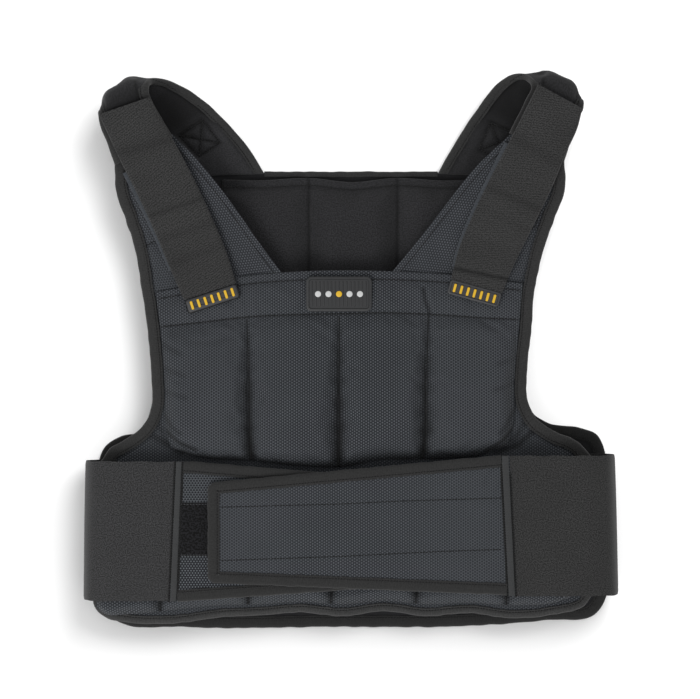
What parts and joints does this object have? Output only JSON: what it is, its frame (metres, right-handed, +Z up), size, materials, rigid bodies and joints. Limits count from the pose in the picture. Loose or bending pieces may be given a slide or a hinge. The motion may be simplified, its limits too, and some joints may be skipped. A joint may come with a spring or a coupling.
{
  "type": "weighted vest",
  "caption": "Sleeveless weighted training vest lying flat on its back: pocketed front over a bound back panel, folded padded shoulders with straps, and a wrap-over belt.",
  "frame": {"origin": "middle of the bounding box, on the flat underside of the back panel", "axes": "+Z up out of the vest's front as it lies on its back, +Y towards the shoulders, +X towards the side that the outer belt flap comes from"},
  "size_m": [0.535, 0.5607, 0.0662],
  "materials": {
    "textured_cloth": "matte woven cloth with small raised dots",
    "smooth_cloth": "matte smooth webbing",
    "lining": "matte soft lining",
    "binding_tape": "matte ribbed tape",
    "elastic": "matte ribbed elastic",
    "loop_fleece": "matte fuzzy loops",
    "black_rubber": "satin moulded rubber",
    "grey_rubber": "satin moulded rubber"
  },
  "bodies": {
    "root": {"back_panel": "textured_cloth", "back_pockets_upper": "lining", "back_pockets_lower": "lining", "back_binding": "binding_tape", "neck_binding": "binding_tape", "shoulder_pad_left": "lining", "shoulder_pad_right": "lining", "pad_binding_left_neck": "binding_tape", "pad_binding_left_arm": "binding_tape", "pad_binding_right_neck": "binding_tape", "pad_binding_right_arm": "binding_tape", "front_panel": "textured_cloth", "front_wing_left": "textured_cloth", "front_wing_right": "textured_cloth", "chest_pockets": "textured_cloth", "lower_pockets": "textured_cloth", "front_binding_left": "binding_tape", "front_binding_right": "binding_tape", "front_binding_bottom": "binding_tape", "strap_backing_left": "textured_cloth", "strap_backing_right": "textured_cloth", "strap_left": "smooth_cloth", "strap_right": "smooth_cloth", "pull_tab_left": "grey_rubber", "pull_tab_right": "grey_rubber", "chest_patch": "black_rubber", "belt_elastic_left": "elastic", "belt_elastic_right": "elastic", "belt_end_strip_left": "smooth_cloth", "belt_end_strip_right": "smooth_cloth", "belt_flap_under": "textured_cloth", "belt_flap_over": "textured_cloth", "flap_binding_under": "binding_tape", "flap_binding_over": "binding_tape", "loop_patch": "loop_fleece", "hook_patch": "black_rubber"}
  },
  "joints": []
}
